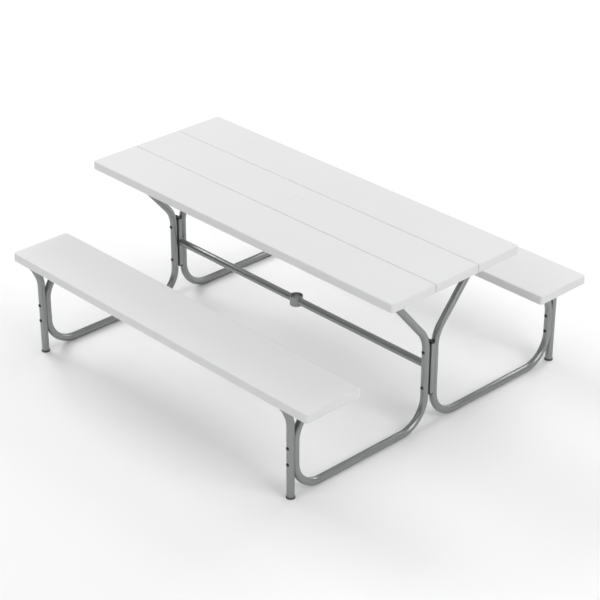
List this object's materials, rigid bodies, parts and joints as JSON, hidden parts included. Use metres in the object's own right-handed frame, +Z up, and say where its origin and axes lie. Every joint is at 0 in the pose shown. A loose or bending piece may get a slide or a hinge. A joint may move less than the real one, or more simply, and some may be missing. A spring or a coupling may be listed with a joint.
{
  "type": "picnic table",
  "caption": "Six-person picnic table with an attached bench on each side, pale plastic planks on a bolted round-tube steel frame, with an umbrella ring.",
  "frame": {"origin": "on the floor under the middle of the table", "axes": "+X along the table, +Y across it towards the rear bench, +Z up"},
  "size_m": [1.811, 1.616, 0.737],
  "materials": {
    "board_plastic": "fine-grained matte off-white polyethylene",
    "plug_plastic": "fine-grained matte off-white polyethylene",
    "frame_paint": "grey powder coat, satin",
    "black_plastic": "black moulded plastic",
    "black_steel": "black-coated bolt heads",
    "zinc_steel": "zinc-plated steel"
  },
  "bodies": {
    "table": {"bench_bolts": "black_steel", "bench_inserts": "zinc_steel", "bench_leg_left_front": "frame_paint", "bench_leg_left_rear": "frame_paint", "bench_leg_right_front": "frame_paint", "bench_leg_right_rear": "frame_paint", "bench_seat_front": "board_plastic", "bench_seat_rear": "board_plastic", "column_bolts": "black_steel", "column_inserts": "zinc_steel", "column_post_left": "frame_paint", "column_post_right": "frame_paint", "foot_cap_left_front": "black_plastic", "foot_cap_left_rear": "black_plastic", "foot_cap_right_front": "black_plastic", "foot_cap_right_rear": "black_plastic", "leg_tube_left_front": "frame_paint", "leg_tube_left_rear": "frame_paint", "leg_tube_right_front": "frame_paint", "leg_tube_right_rear": "frame_paint", "plank_screws": "zinc_steel", "post_plug_left_bottom": "black_plastic", "post_plug_left_top": "black_plastic", "post_plug_right_bottom": "black_plastic", "post_plug_right_top": "black_plastic", "seat_screws": "zinc_steel", "seat_strap_left_front": "frame_paint", "seat_strap_left_rear": "frame_paint", "seat_strap_right_front": "frame_paint", "seat_strap_right_rear": "frame_paint", "stretcher_tube_left": "frame_paint", "stretcher_tube_right": "frame_paint", "tabletop_plank_front": "board_plastic", "tabletop_plank_middle": "board_plastic", "tabletop_plank_rear": "board_plastic", "top_rail_left": "frame_paint", "top_rail_right": "frame_paint", "umbrella_ring": "frame_paint"},
    "plug": {"umbrella_hole_plug": "plug_plastic"}
  },
  "joints": [
    {"name": "plug_lift", "type": "slide", "parent": "table", "child": "plug", "axis": [0, 0, 1], "range_m": [0, 0.04]}
  ]
}
